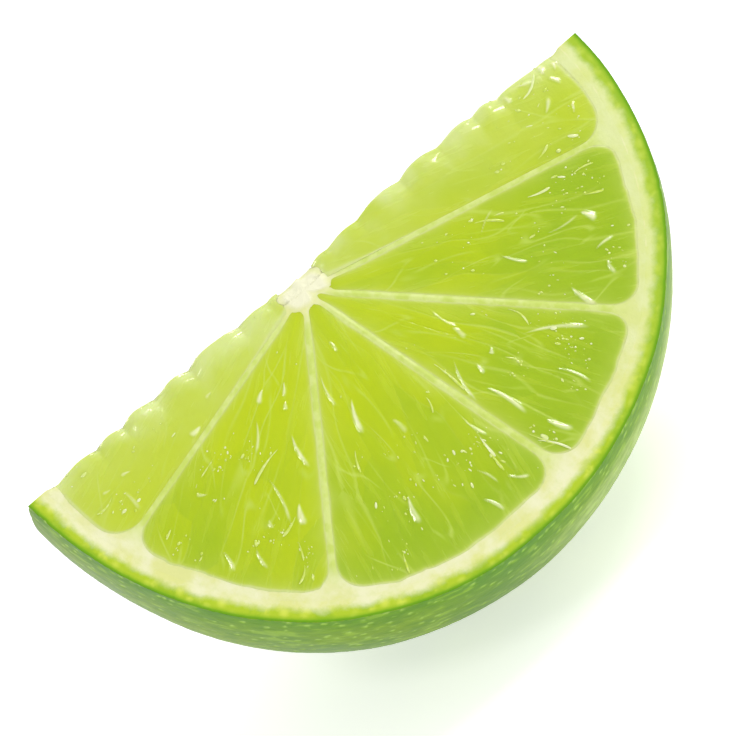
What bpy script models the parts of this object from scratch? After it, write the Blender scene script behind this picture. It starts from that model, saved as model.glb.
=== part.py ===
"""A piece of a green lime: half of the fruit cut across, halved again along its axis.

The fruit grew as one piece, so it is one closed solid. It has three outer surfaces: the curved
rind, the half-round cross cut with the core and six pulp segments, and the lengthwise cut that
follows the axis. It lies on its rind, on the small flat spot that its own weight presses, with
both cuts turned up. Metres, +Z up, +X along the edge where the two cuts meet, and the origin on
the ground under the middle of the piece.

Run it with: blender --background --python part.py
"""

import math

import bmesh
import bpy
import numpy as np

# The fruit before it was cut
GIRTH_RADIUS = 0.0262  # half of the widest diameter
GIRTH_BELOW_CUT = 0.0041  # the cross cut missed the widest place by this much
SHOULDER_LENGTH = 0.0262  # widest place to the flower end, without its nipple
PROFILE_POWER = 2.18  # 2 would be an ellipse, more is fuller
NIPPLE_HEIGHT = 0.0015
NIPPLE_RADIUS = 0.0038
TWO_LOBED = 0.020  # how far the outline is from round, as a share of the radius
THREE_LOBED = 0.0146

# What the cuts show
RIND_THICKNESS = 0.0024  # oil glands and pith together
CORE_RADIUS = 0.0016
CORE_X = -0.0007  # the core isn't quite in the middle of the fruit
CORE_INSET = 0.0013  # core to the lengthwise cut
MEMBRANE_WIDTH = 0.0009
MEMBRANE_DEGREES = (14.0, 46.0, 77.5, 125.5, 165.5)  # seen from the core, from +X round the rind
PULP_SWELL = 0.00035  # how far the pulp stands out of a cut

# How it lies
RESTING_TILT_DEGREES = 38.0  # from the radius in the middle of the rind to straight down
SPOT_RADIUS = 0.0050  # of the flat spot under it

# Fineness of the mesh
STEPS_AROUND = 56
STEPS_ALONG = 24
STEPS_ACROSS_CUT = 28
RINGS_ON_CUT = 12
WELD_DISTANCE = 1e-6

# Finishes: name, colour and roughness
SKIN, PITH, PULP = range(3)
FINISHES = (
    ("lime_skin", (0.24, 0.42, 0.05, 1.0), 0.35),
    ("lime_pith", (0.83, 0.87, 0.55, 1.0), 0.6),
    ("lime_pulp", (0.48, 0.66, 0.05, 1.0), 0.2),
)
SHARP_EDGE_DEGREES = 40


def clear_scene():
    """Removes every object of the start-up scene."""
    for scene_object in list(bpy.data.objects):
        bpy.data.objects.remove(scene_object, do_unlink=True)


def make_material(name, colour, roughness):
    """A plain finish for one of the fruit's tissues."""
    material = bpy.data.materials.new(name)
    material.use_nodes = True
    shader = material.node_tree.nodes["Principled BSDF"]
    shader.inputs["Base Color"].default_value = colour
    shader.inputs["Roughness"].default_value = roughness
    shader.inputs["Metallic"].default_value = 0.0
    return material


def lobes(angle):
    """How much wider or narrower than a circle the fruit is at this angle round its axis."""
    return 1 + TWO_LOBED * np.sin(2 * angle) + THREE_LOBED * np.cos(3 * angle)


def profile(steps):
    """Radius and depth below the cross cut, from the cut to the tip of the nipple.

    The shoulder is a superellipse in the sine and cosine of one angle, and the nipple is a bell
    added to its depth near the axis.
    """
    exponent = 2 / PROFILE_POWER
    start = -math.asin((GIRTH_BELOW_CUT / SHOULDER_LENGTH) ** (1 / exponent))
    angle = np.linspace(start, math.pi / 2, steps + 1)
    radius = GIRTH_RADIUS * np.clip(np.cos(angle), 0, None) ** exponent
    radius[-1] = 0.0
    height = np.sign(np.sin(angle)) * np.abs(np.sin(angle)) ** exponent
    nipple = NIPPLE_HEIGHT * np.exp(-((radius / NIPPLE_RADIUS) ** 2))
    return radius, GIRTH_BELOW_CUT + SHOULDER_LENGTH * height + nipple


def rise(distance, width):
    """Climbs smoothly from 0 at no distance to 1 at the width."""
    share = np.clip(distance / width, 0, 1)
    return share * share * (3 - 2 * share)


def rind_sheet():
    """The skin, as a grid of points (x, across, out).

    x runs along the edge between the cuts, across runs from that edge to the rind, and out is
    the way the cross cut faces.
    """
    radius, depth = profile(STEPS_ALONG)
    around = np.linspace(0, math.pi, STEPS_AROUND + 1)
    reach = radius[:, None] * lobes(around)
    out = np.broadcast_to(-depth[:, None], reach.shape)
    return np.stack([reach * np.cos(around), reach * np.sin(around), out], axis=-1)


def cross_cut_sheet(rim):
    """The half-round cut, as rings that shrink from the rim onto the core, with the pulp swollen."""
    core = np.array([CORE_X, CORE_INSET])
    share = np.linspace(0, 1, RINGS_ON_CUT + 1)[:, None, None]
    flat = core + share * (rim[None, :, :2] - core)
    from_core = flat - core
    distance = np.hypot(from_core[..., 0], from_core[..., 1])
    direction = np.arctan2(from_core[..., 1], from_core[..., 0])
    off_axis = np.hypot(flat[..., 0], flat[..., 1])
    rim_radius = profile(STEPS_ALONG)[0][0]
    edge = rim_radius * lobes(np.arctan2(flat[..., 1], flat[..., 0]))
    swell = rise(edge - off_axis - RIND_THICKNESS, MEMBRANE_WIDTH)
    swell = swell * rise(distance - CORE_RADIUS, MEMBRANE_WIDTH)
    for degrees in MEMBRANE_DEGREES:
        aside = distance * np.abs(np.sin(direction - math.radians(degrees)))
        ahead = np.cos(direction - math.radians(degrees)) > 0
        swell = np.where(ahead, swell * rise(aside - MEMBRANE_WIDTH / 2, MEMBRANE_WIDTH), swell)
    swell = swell * rise(flat[..., 1], MEMBRANE_WIDTH)
    return np.concatenate([flat, PULP_SWELL * swell[..., None]], axis=-1)


def lengthwise_cut_sheet(skin):
    """The cut along the axis, stretched between the two edges of the skin, with the pulp swollen."""
    share = np.linspace(0, 1, STEPS_ACROSS_CUT + 1)[None, :, None]
    sheet = skin[:, :1] + share * (skin[:, -1:] - skin[:, :1])
    depth = -sheet[:, :, 2]
    to_rind = np.minimum(sheet[:, :1, 0] - sheet[..., 0], sheet[..., 0] - sheet[:, -1:, 0])
    to_tip = depth[-1:] - depth - NIPPLE_HEIGHT
    swell = rise(np.minimum(to_rind, to_tip) - RIND_THICKNESS, MEMBRANE_WIDTH)
    swell = swell * rise(np.abs(sheet[..., 0] - CORE_X) - CORE_RADIUS, MEMBRANE_WIDTH)
    sheet[..., 1] = -PULP_SWELL * swell * rise(depth, MEMBRANE_WIDTH)
    return sheet


def laid_down(points):
    """Turns the piece onto its rind, flattens the spot it lies on and centres it over the origin."""
    tilt = math.radians(RESTING_TILT_DEGREES)
    x, across, out = points.T
    y = -math.cos(tilt) * out - math.sin(tilt) * across
    z = math.sin(tilt) * out - math.cos(tilt) * across
    ground = z.min() + SPOT_RADIUS**2 / (2 * GIRTH_RADIUS)
    middle_x = (x.min() + x.max()) / 2
    middle_y = (y.min() + y.max()) / 2
    return np.stack([x - middle_x, y - middle_y, np.maximum(z - ground, 0.0)], axis=-1)


def grid_faces(rows, columns, first, closed=False):
    """Four-cornered faces of a grid whose points are numbered row by row from first."""
    across = columns if closed else columns - 1
    row, column = np.meshgrid(np.arange(rows - 1), np.arange(across), indexing="ij")
    after = (column + 1) % columns
    near = row * columns
    far = near + columns
    corners = (near + column, near + after, far + after, far + column)
    return first + np.stack(corners, axis=-1).reshape(-1, 4)


def build_lime_wedge():
    """Welds the three sheets into one closed solid and gives each tissue its finish."""
    skin = rind_sheet()
    lengthwise = lengthwise_cut_sheet(skin)
    rim = np.concatenate([skin[0], lengthwise[0, 1:-1][::-1]])
    cross = cross_cut_sheet(rim)
    points = np.concatenate([sheet.reshape(-1, 3) for sheet in (skin, lengthwise, cross)])
    skin_faces = grid_faces(*skin.shape[:2], 0)
    lengthwise_faces = grid_faces(*lengthwise.shape[:2], skin[..., 0].size)
    cross_faces = grid_faces(*cross.shape[:2], skin[..., 0].size + lengthwise[..., 0].size, closed=True)
    cut_faces = np.concatenate([lengthwise_faces, cross_faces])
    mesh = bpy.data.meshes.new("lime_wedge")
    mesh.from_pydata(laid_down(points).tolist(), [], np.concatenate([skin_faces, cut_faces]).tolist())
    finish = np.concatenate([np.full(len(skin_faces), SKIN), pith_or_pulp(points[cut_faces].mean(axis=1))])
    mesh.polygons.foreach_set("material_index", finish.astype(np.int32))
    for name, colour, roughness in FINISHES:
        mesh.materials.append(make_material(name, colour, roughness))
    close_seams(mesh)
    wedge = bpy.data.objects.new("lime_wedge", mesh)
    bpy.context.scene.collection.objects.link(wedge)
    return wedge


def pith_or_pulp(middles):
    """The finish of a cut's faces: pith within the rind's thickness of the skin, and pulp inside it."""
    radius, depth = profile(STEPS_ALONG)
    to_skin = np.interp(-middles[:, 2], depth, radius) - np.hypot(middles[:, 0], middles[:, 1])
    to_tip = depth[-1] - NIPPLE_HEIGHT + middles[:, 2]
    return np.where(np.minimum(to_skin, to_tip) < RIND_THICKNESS, PITH, PULP)


def close_seams(mesh):
    """Merges the sheets' shared edges and the poles, and turns every face outward."""
    shell = bmesh.new()
    shell.from_mesh(mesh)
    bmesh.ops.remove_doubles(shell, verts=shell.verts, dist=WELD_DISTANCE)
    bmesh.ops.dissolve_degenerate(shell, edges=shell.edges, dist=WELD_DISTANCE)
    bmesh.ops.recalc_face_normals(shell, faces=shell.faces)
    shell.to_mesh(mesh)
    shell.free()
    mesh.shade_smooth()
    mesh.set_sharp_from_angle(angle=math.radians(SHARP_EDGE_DEGREES))


clear_scene()
build_lime_wedge()
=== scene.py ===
"""The looks of a lime wedge: rind, pith and six pulp segments, each a closed surface.

Shapes are worked out in millimetres in the fruit's own axes and then laid down on the rind:
x runs along the straight edge where the two cuts meet, across runs from that edge to the rind,
and out is the way the half-round cross cut faces. Depth is the opposite of out.
"""

import itertools
import math

import bmesh
import bpy
import numpy as np
from mathutils import Matrix, Vector


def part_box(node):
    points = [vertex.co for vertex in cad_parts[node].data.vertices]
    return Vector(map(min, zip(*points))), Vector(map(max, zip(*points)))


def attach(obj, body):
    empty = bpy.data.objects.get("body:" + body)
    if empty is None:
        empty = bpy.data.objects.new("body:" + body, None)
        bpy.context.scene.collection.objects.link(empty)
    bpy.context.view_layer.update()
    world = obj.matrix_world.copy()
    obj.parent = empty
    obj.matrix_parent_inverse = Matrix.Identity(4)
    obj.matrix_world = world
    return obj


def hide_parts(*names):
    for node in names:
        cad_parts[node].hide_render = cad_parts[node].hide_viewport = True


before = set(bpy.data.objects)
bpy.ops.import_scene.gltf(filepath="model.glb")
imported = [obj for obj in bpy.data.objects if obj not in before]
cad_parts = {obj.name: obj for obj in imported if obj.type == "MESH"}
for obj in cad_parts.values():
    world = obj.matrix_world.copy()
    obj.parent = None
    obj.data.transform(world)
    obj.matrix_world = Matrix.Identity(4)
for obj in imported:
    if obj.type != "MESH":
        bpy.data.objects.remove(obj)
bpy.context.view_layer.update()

MM = 0.001

# The fruit, the same shape as the solid that it replaces
GIRTH_RADIUS = 26.2
GIRTH_BELOW_CUT = 4.1
SHOULDER_LENGTH = 26.2
PROFILE_POWER = 2.18
NIPPLE_HEIGHT = 1.5
NIPPLE_RADIUS = 3.8
TWO_LOBED = 0.020
THREE_LOBED = 0.0146
RESTING_TILT = math.radians(38)

# What the cuts show
PEEL = 1.6  # how far in the rind piece reaches, glands and the outer pith
OVERLAP = 0.12  # how far the pith piece reaches under the rind piece
RIND_THICKNESS = 2.15  # skin to pulp
CORE = np.array([-0.7, 1.3])  # middle of the core, x and across
CORE_RADIUS = 1.15
CORE_HALF_ON_EDGE = 1.6  # half the core's length on the cut edge
COLUMN_HALF = 0.8  # half the core's width on the lengthwise cut
MEMBRANE_DEGREES = (14.0, 46.0, 77.5, 125.5, 165.5)
MEMBRANE_HALF_WIDTH = 0.09
CORNER_RADIUS = 2.2  # of a segment's outer corners
TIP_RADIUS = 0.45  # of its inner corners


# ---------------------------------------------------------------- numbers that repeat each run


def scatter(cells, salt):
    """A repeatable number from 0 to 1 for each row of whole numbers: the tail of a large sine."""
    return np.mod(np.sin(cells @ np.array([127.1, 311.7, 74.7]) + salt * 19.19) * 43758.5453, 1.0)


def smooth(share):
    """Climbs from 0 to 1 with level ends: three squares less two cubes."""
    share = np.clip(share, 0.0, 1.0)
    return share * share * (3 - 2 * share)


def bell(distance, width, power=2):
    """Falls from 1 on both sides: one over e to the distance in widths raised to a power."""
    return np.exp(-((distance / width) ** power))


def soft_noise(points, salt):
    """Smooth noise from 0 to 1: the eight corners of each unit cell blended."""
    cell = np.floor(points)
    share = smooth(points - cell)
    total = np.zeros(points.shape[:-1])
    for corner in itertools.product((0, 1), repeat=3):
        corner = np.array(corner)
        weight = np.prod(np.where(corner == 1, share, 1 - share), axis=-1)
        total += weight * scatter(cell + corner, salt)
    return total


def cloud(points, salt, octaves=3):
    """Noise from about -1 to 1 with finer layers, each half as strong as the one before."""
    total = np.zeros(points.shape[:-1])
    for octave in range(octaves):
        total += (2 * soft_noise(points * 2.0**octave, salt + octave) - 1) / 2**octave
    return total / 1.5


def nearest_seeds(points, salt, flat=False, jitter=0.9):
    """Distances to the nearest two scattered seeds, the nearest one's number and sideways place,
    and how far the wall between the two runs along the second axis.

    There is one seed in each unit cell, moved off its middle by up to half the jitter.
    """
    home = np.floor(points)
    first = np.full(points.shape[:-1], 9.0)
    second = np.full(points.shape[:-1], 9.0)
    number = np.zeros(points.shape[:-1])
    aside = np.zeros(points.shape[:-1])
    first_gap = np.zeros(points.shape)
    second_gap = np.zeros(points.shape)
    for offset in itertools.product((-1, 0, 1), (-1, 0, 1), (0,) if flat else (-1, 0, 1)):
        cell = home + np.array(offset)
        shift = np.stack([scatter(cell, salt + axis) for axis in (1, 2, 3)], axis=-1) - 0.5
        if flat:
            shift[..., 2] = 0.0
        gap = points - (cell + 0.5 + jitter * shift)
        if flat:
            gap[..., 2] = 0.0
        distance = np.sqrt((gap**2).sum(axis=-1))
        nearer = distance < first
        next_nearer = ~nearer & (distance < second)
        second_gap = np.where(nearer[..., None], first_gap, second_gap)
        second_gap = np.where(next_nearer[..., None], gap, second_gap)
        first_gap = np.where(nearer[..., None], gap, first_gap)
        second = np.where(nearer, first, np.minimum(second, distance))
        number = np.where(nearer, scatter(cell, salt + 4), number)
        aside = np.where(nearer, gap[..., 0], aside)
        first = np.where(nearer, distance, first)
    between = first_gap - second_gap
    sideways = np.abs(between[..., 0]) / np.maximum(np.linalg.norm(between, axis=-1), 1e-6)
    return first, second, number, aside, sideways


# ---------------------------------------------------------------- the fruit's own shape


def lobes(angle):
    """How much wider or narrower than a circle the fruit is at this angle round its axis."""
    return 1 + TWO_LOBED * np.sin(2 * angle) + THREE_LOBED * np.cos(3 * angle)


def profile(steps):
    """Radius, depth and outward normal from the cross cut to the tip of the nipple.

    The shoulder is a superellipse in the sine and cosine of one angle, and the nipple is a bell
    added to its depth near the axis.
    """
    exponent = 2 / PROFILE_POWER
    start = -math.asin((GIRTH_BELOW_CUT / SHOULDER_LENGTH) ** (1 / exponent))
    angle = np.linspace(start, math.pi / 2, steps + 1)
    radius = GIRTH_RADIUS * np.clip(np.cos(angle), 0, None) ** exponent
    radius[-1] = 0.0
    height = np.sign(np.sin(angle)) * np.abs(np.sin(angle)) ** exponent
    nipple = NIPPLE_HEIGHT * np.exp(-((radius / NIPPLE_RADIUS) ** 2))
    depth = GIRTH_BELOW_CUT + SHOULDER_LENGTH * height + nipple
    depth[0] = 0.0
    along = np.stack([np.gradient(radius), np.gradient(depth)])
    along /= np.hypot(*along)
    return radius, depth, along[1], -along[0]


RIM_RADIUS = profile(200)[0][0]


def pulp_rim(angle):
    """Distance from the fruit's axis to the pulp's outer edge: the rim less an uneven rind."""
    waves = 0.14 * np.sin(5.3 * angle + 0.4) + 0.10 * np.sin(11.7 * angle + 2.0)
    waves = waves + 0.05 * np.sin(27.0 * angle + 1.0)
    return RIM_RADIUS * lobes(angle) - RIND_THICKNESS - waves


def under_skin(steps_along, around, inset):
    """The surface that lies inset millimetres inside the skin, as a grid of (x, across, out)."""
    radius, depth, out_radius, out_depth = profile(steps_along)
    radius = np.clip(radius[:, None] - inset * out_radius[:, None], 0, None) * np.ones_like(around)
    depth = depth[:, None] - inset * out_depth[:, None] * np.ones_like(around)
    depth[0] = 0.0
    radius[-1] = 0.0
    depth[-1] = depth[-1].mean()
    reach = radius * lobes(around)
    points = np.stack([reach * np.cos(around), reach * np.sin(around), -depth], axis=-1)
    points[:, 0, 1] = 0.0
    points[:, -1, 1] = 0.0
    return points


def lay_down(points):
    """Turns points of the fruit's axes onto the rind, in millimetres, with the cut edge at the origin."""
    x, across, out = np.moveaxis(points, -1, 0)
    y = -math.cos(RESTING_TILT) * out - math.sin(RESTING_TILT) * across
    z = math.sin(RESTING_TILT) * out - math.cos(RESTING_TILT) * across
    return np.stack([x, y, z], axis=-1)


def edge_place():
    """Where the middle of the cut edge lies in the frame, from the replaced solid's box."""
    low, high = (np.array(corner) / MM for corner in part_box("lime_wedge"))
    skin = lay_down(under_skin(120, np.linspace(0, math.pi, 181), 0.0)).reshape(-1, 3)
    middle = (skin.min(axis=0) + skin.max(axis=0)) / 2
    place = (low + high) / 2 - middle
    place[2] = high[2]
    return place


EDGE_PLACE = edge_place()


def in_frame(points):
    """Points of the fruit's axes as metres in the frame, none of them below the ground."""
    placed = lay_down(points) + EDGE_PLACE
    placed[..., 2] = np.maximum(placed[..., 2], 0.0)
    return placed * MM


# ---------------------------------------------------------------- meshes from grids

WELD_DISTANCE = 2e-6  # metres
SHORTEST_EDGE = 1e-7
SHARP_ANGLE = math.radians(50)


def grid_faces(rows, columns, first=0, closed=False):
    """Four-cornered faces of a grid whose points are numbered row by row from first."""
    across = columns if closed else columns - 1
    row, column = np.meshgrid(np.arange(rows - 1), np.arange(across), indexing="ij")
    after = (column + 1) % columns
    near = row * columns
    far = near + columns
    corners = (near + column, near + after, far + after, far + column)
    return first + np.stack(corners, axis=-1).reshape(-1, 4)


def add_piece(name, sheets, material):
    """Welds sheets of points into one closed piece on the fruit.

    Each sheet is (grid of points, whether its columns close into rings, {attribute: grid}).
    """
    points = np.concatenate([sheet.reshape(-1, 3) for sheet, _, _ in sheets])
    faces = []
    first = 0
    for sheet, closed, _ in sheets:
        faces.append(grid_faces(*sheet.shape[:2], first, closed))
        first += sheet[..., 0].size
    faces = np.concatenate(faces)
    mesh = bpy.data.meshes.new(name)
    mesh.vertices.add(len(points))
    mesh.vertices.foreach_set("co", in_frame(points).ravel())
    mesh.loops.add(faces.size)
    mesh.loops.foreach_set("vertex_index", faces.ravel())
    mesh.polygons.add(len(faces))
    mesh.polygons.foreach_set("loop_start", np.arange(len(faces)) * 4)
    mesh.polygons.foreach_set("loop_total", np.full(len(faces), 4))
    mesh.update(calc_edges=True)
    names = sorted({key for _, _, values in sheets for key in values})
    for key in names:
        layer = mesh.attributes.new(key, "FLOAT", "POINT")
        values = [
            np.broadcast_to(values.get(key, 0.0), sheet.shape[:2]).ravel() for sheet, _, values in sheets
        ]
        layer.data.foreach_set("value", np.concatenate(values).astype(np.float32))
    close_seams(mesh)
    mesh.materials.append(material)
    piece = bpy.data.objects.new(name, mesh)
    bpy.context.scene.collection.objects.link(piece)
    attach(piece, "root")
    return piece


def close_seams(mesh):
    """Merges the sheets' shared edges and the poles, and turns every face outward."""
    shell = bmesh.new()
    shell.from_mesh(mesh)
    bmesh.ops.remove_doubles(shell, verts=shell.verts, dist=WELD_DISTANCE)
    bmesh.ops.dissolve_degenerate(shell, edges=shell.edges, dist=SHORTEST_EDGE)
    bmesh.ops.recalc_face_normals(shell, faces=shell.faces)
    shell.to_mesh(mesh)
    shell.free()
    mesh.shade_smooth()
    mesh.set_sharp_from_angle(angle=SHARP_ANGLE)


# ---------------------------------------------------------------- colours


def linear(red, green, blue):
    """A colour given as screen values from 0 to 255, as the linear values a shader takes."""
    values = np.array([red, green, blue]) / 255
    values = np.where(values <= 0.04045, values / 12.92, ((values + 0.055) / 1.055) ** 2.4)
    return (*values.tolist(), 1.0)


SKIN_DEEP = linear(94, 136, 0)
SKIN_BRIGHT = linear(122, 154, 0)
SKIN_NEAR_CUT = linear(74, 140, 4)
SKIN_PALE_DASH = linear(158, 196, 44)
SKIN_DARK_DASH = linear(72, 126, 0)
# Painted reflection: the pale wash that glossy skin shows towards the right-hand end
SKIN_PAINTED_REFLECTION = linear(206, 224, 150)
SKIN_PIT = linear(166, 202, 82)
SKIN_SPECK = linear(84, 128, 34)
SKIN_LINE = linear(110, 165, 30)

GLAND_YELLOW = linear(214, 228, 84)
GLAND_GREEN = linear(182, 208, 50)
GLAND_PATCH = linear(150, 190, 36)
GLAND_AT_END = linear(152, 192, 62)
GLAND_UNDER_SKIN = linear(130, 182, 30)

PITH_WHITE = linear(249, 248, 218)
PITH_YELLOW = linear(229, 232, 150)
PITH_FLECK = linear(222, 231, 150)
PITH_AT_END = linear(212, 228, 134)
CORE_WHITE = linear(246, 245, 210)
MEMBRANE_CLEAR = linear(206, 225, 104)
MEMBRANE_CLOUDY = linear(220, 234, 138)

PULP_YELLOW = linear(198, 217, 14)
PULP_GREEN = linear(165, 198, 30)
PULP_STREAK = linear(202, 224, 50)
PULP_PALE = linear(214, 229, 118)
PULP_PALEST = linear(228, 240, 168)
SAC_WALL = linear(212, 232, 104)
LONG_STRAND = linear(206, 228, 92)
LEANING_STRAND = linear(212, 232, 108)
# Near white on torn sac walls, partly a painted highlight
TORN_WALL_AND_HIGHLIGHT = linear(240, 247, 190)

JUICE = linear(208, 230, 80)
JUICE_PALE = linear(226, 240, 140)
# Painted highlight on some juice drops
JUICE_PAINTED_GLINT = linear(244, 250, 200)

WHITE = (1.0, 1.0, 1.0, 1.0)
FLOOR_DULL = (0.76, 0.76, 0.75, 1)
FLOOR_BRIGHT = (0.78, 0.78, 0.77, 1)


# ---------------------------------------------------------------- shader building


class Paint:
    """Adds nodes to one node tree. Each method returns the socket that carries its result."""

    def __init__(self, tree):
        self.tree = tree

    def node(self, kind, **settings):
        """A new node of this kind with these settings."""
        made = self.tree.nodes.new(kind)
        for key, value in settings.items():
            setattr(made, key, value)
        return made

    def feed(self, socket, value):
        """Links a socket, or sets a constant."""
        if isinstance(value, bpy.types.NodeSocket):
            self.tree.links.new(value, socket)
        else:
            socket.default_value = value

    def filled(self, kind, values, **settings):
        """A new node with its first sockets fed in order."""
        made = self.node(kind, **settings)
        for socket, value in zip(made.inputs, values):
            self.feed(socket, value)
        return made

    def place(self):
        """The place on the fruit, in metres."""
        return self.node("ShaderNodeTexCoord").outputs["Object"]

    def attribute(self, name):
        """A number that the mesh carries at each point."""
        return self.node("ShaderNodeAttribute", attribute_name=name).outputs["Fac"]

    def join(self, x, y, z=0.0):
        """A place made from three numbers."""
        return self.filled("ShaderNodeCombineXYZ", (x, y, z)).outputs[0]

    def noise(self, vector, scale, detail=3.0, roughness=0.55):
        """Noise from 0 to 1. Over Object coordinates, scale counts its waves in a metre."""
        node = self.node("ShaderNodeTexNoise")
        self.feed(node.inputs["Vector"], vector)
        self.feed(node.inputs["Scale"], scale)
        self.feed(node.inputs["Detail"], detail)
        self.feed(node.inputs["Roughness"], roughness)
        return node.outputs["Fac"]

    def cells(self, vector, scale):
        """Distance from the nearest scattered point, with this many cells in a metre."""
        node = self.node("ShaderNodeTexVoronoi")
        self.feed(node.inputs["Vector"], vector)
        self.feed(node.inputs["Scale"], scale)
        return node.outputs["Distance"]

    def math(self, operation, first, second=0.0):
        return self.filled("ShaderNodeMath", (first, second), operation=operation).outputs[0]

    def plus(self, first, second):
        return self.math("ADD", first, second)

    def times(self, first, second):
        return self.math("MULTIPLY", first, second)

    def ramp(self, value, low, high, to_low=0.0, to_high=1.0):
        """Smoothly maps low..high to to_low..to_high and holds it outside them."""
        values = (value, low, high, to_low, to_high)
        node = self.filled("ShaderNodeMapRange", values, interpolation_type="SMOOTHSTEP")
        return node.outputs[0]

    def mix(self, share, first, second):
        """The first colour where share is 0, the second where it is 1."""
        node = self.node("ShaderNodeMix", data_type="RGBA", blend_type="MIX")
        self.feed(node.inputs[0], share)
        self.feed(node.inputs[6], first)
        self.feed(node.inputs[7], second)
        return node.outputs[2]

    def group(self, tree, **values):
        """A node group's outputs, with these values given to it."""
        node = self.node("ShaderNodeGroup", node_tree=tree)
        for key, value in values.items():
            self.feed(node.inputs[key], value)
        return node.outputs

    def bump(self, height, distance, strength):
        """The normal of a surface that stands out by height times distance, in metres."""
        node = self.node("ShaderNodeBump")
        self.feed(node.inputs["Height"], height)
        self.feed(node.inputs["Distance"], distance)
        self.feed(node.inputs["Strength"], strength)
        return node.outputs["Normal"]


def new_group(name, given, outputs):
    """A node group with one number given to it and named outputs, each as (name, kind)."""
    tree = bpy.data.node_groups.new(name, "ShaderNodeTree")
    tree.interface.new_socket(given, in_out="INPUT", socket_type="NodeSocketFloat")
    for label, kind in outputs:
        tree.interface.new_socket(label, in_out="OUTPUT", socket_type=kind)
    paint = Paint(tree)
    number = paint.node("NodeGroupInput").outputs[given]
    return tree, paint, number, paint.node("NodeGroupOutput").inputs


def pith_group():
    """Cream pith: cloudy between white and yellow cream, with fine flecks and a felted height."""
    outputs = [("Color", "NodeSocketColor"), ("Height", "NodeSocketFloat")]
    tree, paint, yellowing, out = new_group("pith_cream", "Yellowing", outputs)
    place = paint.place()
    clouds = paint.noise(place, scale=420.0, detail=4.0, roughness=0.6)
    flecks = paint.noise(place, scale=2300.0, detail=3.0, roughness=0.6)
    yellow = paint.plus(paint.ramp(clouds, 0.35, 0.68, 0.0, 0.7), yellowing)
    cream = paint.mix(yellow, PITH_WHITE, PITH_YELLOW)
    paint.feed(out["Color"], paint.mix(paint.ramp(flecks, 0.5, 0.75, 0.0, 0.35), cream, PITH_FLECK))
    paint.feed(out["Height"], paint.plus(flecks, clouds))
    return tree


def wet_group():
    """Small beads and pits of moisture: a height from two sizes of noise."""
    outputs = [("Height", "NodeSocketFloat")]
    tree, paint, scale, out = new_group("moisture", "Scale", outputs)
    place = paint.place()
    broad = paint.noise(place, scale, detail=2.0, roughness=0.5)
    fine = paint.noise(place, paint.times(scale, 3.1), detail=2.0, roughness=0.5)
    paint.feed(out["Height"], paint.plus(broad, paint.times(fine, 0.35)))
    return tree


PITH_CREAM = pith_group()
MOISTURE = wet_group()
YELLOWING = 0.35  # of the pith, the same where the rind piece meets the pith piece


def new_material(name):
    """A material, the paint that adds nodes to it, and its Principled shader's sockets."""
    material = bpy.data.materials.new(name)
    material.use_nodes = True
    return material, Paint(material.node_tree), material.node_tree.nodes["Principled BSDF"].inputs


def set_finish(shader, finish):
    """Sets constants on the shader's own sockets."""
    for name, value in finish.items():
        shader[name].default_value = value


def pith_colour(paint):
    """Cream pith, greener towards the right-hand end, and its height."""
    pith = paint.group(PITH_CREAM, Yellowing=YELLOWING)
    greener = paint.times(paint.attribute("end"), 0.55)
    return paint.mix(greener, pith["Color"], PITH_AT_END), pith["Height"]


def skin_colour(paint, place, broad):
    """Broad patches of two greens under dashes, a painted pale reflection, pale pits and dark specks."""
    skin = paint.mix(paint.ramp(broad, 0.35, 0.65), SKIN_DEEP, SKIN_BRIGHT)
    skin = paint.mix(paint.times(paint.attribute("near_cut"), 0.7), skin, SKIN_NEAR_CUT)
    dash = paint.attribute("dash")
    skin = paint.mix(paint.ramp(dash, 0.1, 0.6, 0.0, 0.45), skin, SKIN_PALE_DASH)
    skin = paint.mix(paint.ramp(dash, -0.5, -0.1, 0.4, 0.0), skin, SKIN_DARK_DASH)
    # Painted reflection: the skin is paled where a glossy reflection of the pale surroundings would show
    painted_reflection_share = paint.times(paint.attribute("cheek"), paint.ramp(dash, -0.6, 0.5, 0.35, 0.6))
    skin = paint.mix(painted_reflection_share, skin, SKIN_PAINTED_REFLECTION)
    skin = paint.mix(paint.ramp(paint.attribute("gland"), 0.1, 0.8, 0.0, 0.85), skin, SKIN_PIT)
    specks = paint.ramp(paint.noise(place, scale=1500.0), 0.4, 0.7, 0.0, 0.25)
    return paint.mix(specks, skin, SKIN_SPECK)


def cut_rind_colour(paint, place, depth, cream):
    """From the skin inward: a dark line, mottled oil glands, and pith with a ragged border."""
    wander = paint.noise(place, scale=620.0, detail=5.0, roughness=0.62)
    ragged = paint.plus(depth, paint.times(paint.math("SUBTRACT", wander, 0.5), 1.3))
    patches = paint.noise(place, scale=620.0, detail=3.0, roughness=0.6)
    blobs = paint.cells(place, scale=1100.0)
    glands = paint.mix(paint.ramp(blobs, 0.1, 0.6), GLAND_YELLOW, GLAND_GREEN)
    glands = paint.mix(paint.ramp(patches, 0.47, 0.62, 0.0, 0.7), glands, GLAND_PATCH)
    glands = paint.mix(paint.times(paint.attribute("end"), 0.45), glands, GLAND_AT_END)
    glands = paint.mix(paint.ramp(depth, 0.1, 0.5, 0.8, 0.0), glands, GLAND_UNDER_SKIN)
    cut = paint.mix(paint.ramp(ragged, 0.55, 1.35), glands, cream)
    return paint.mix(paint.ramp(depth, 0.05, 0.28, 1.0, 0.0), cut, SKIN_LINE)


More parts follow.
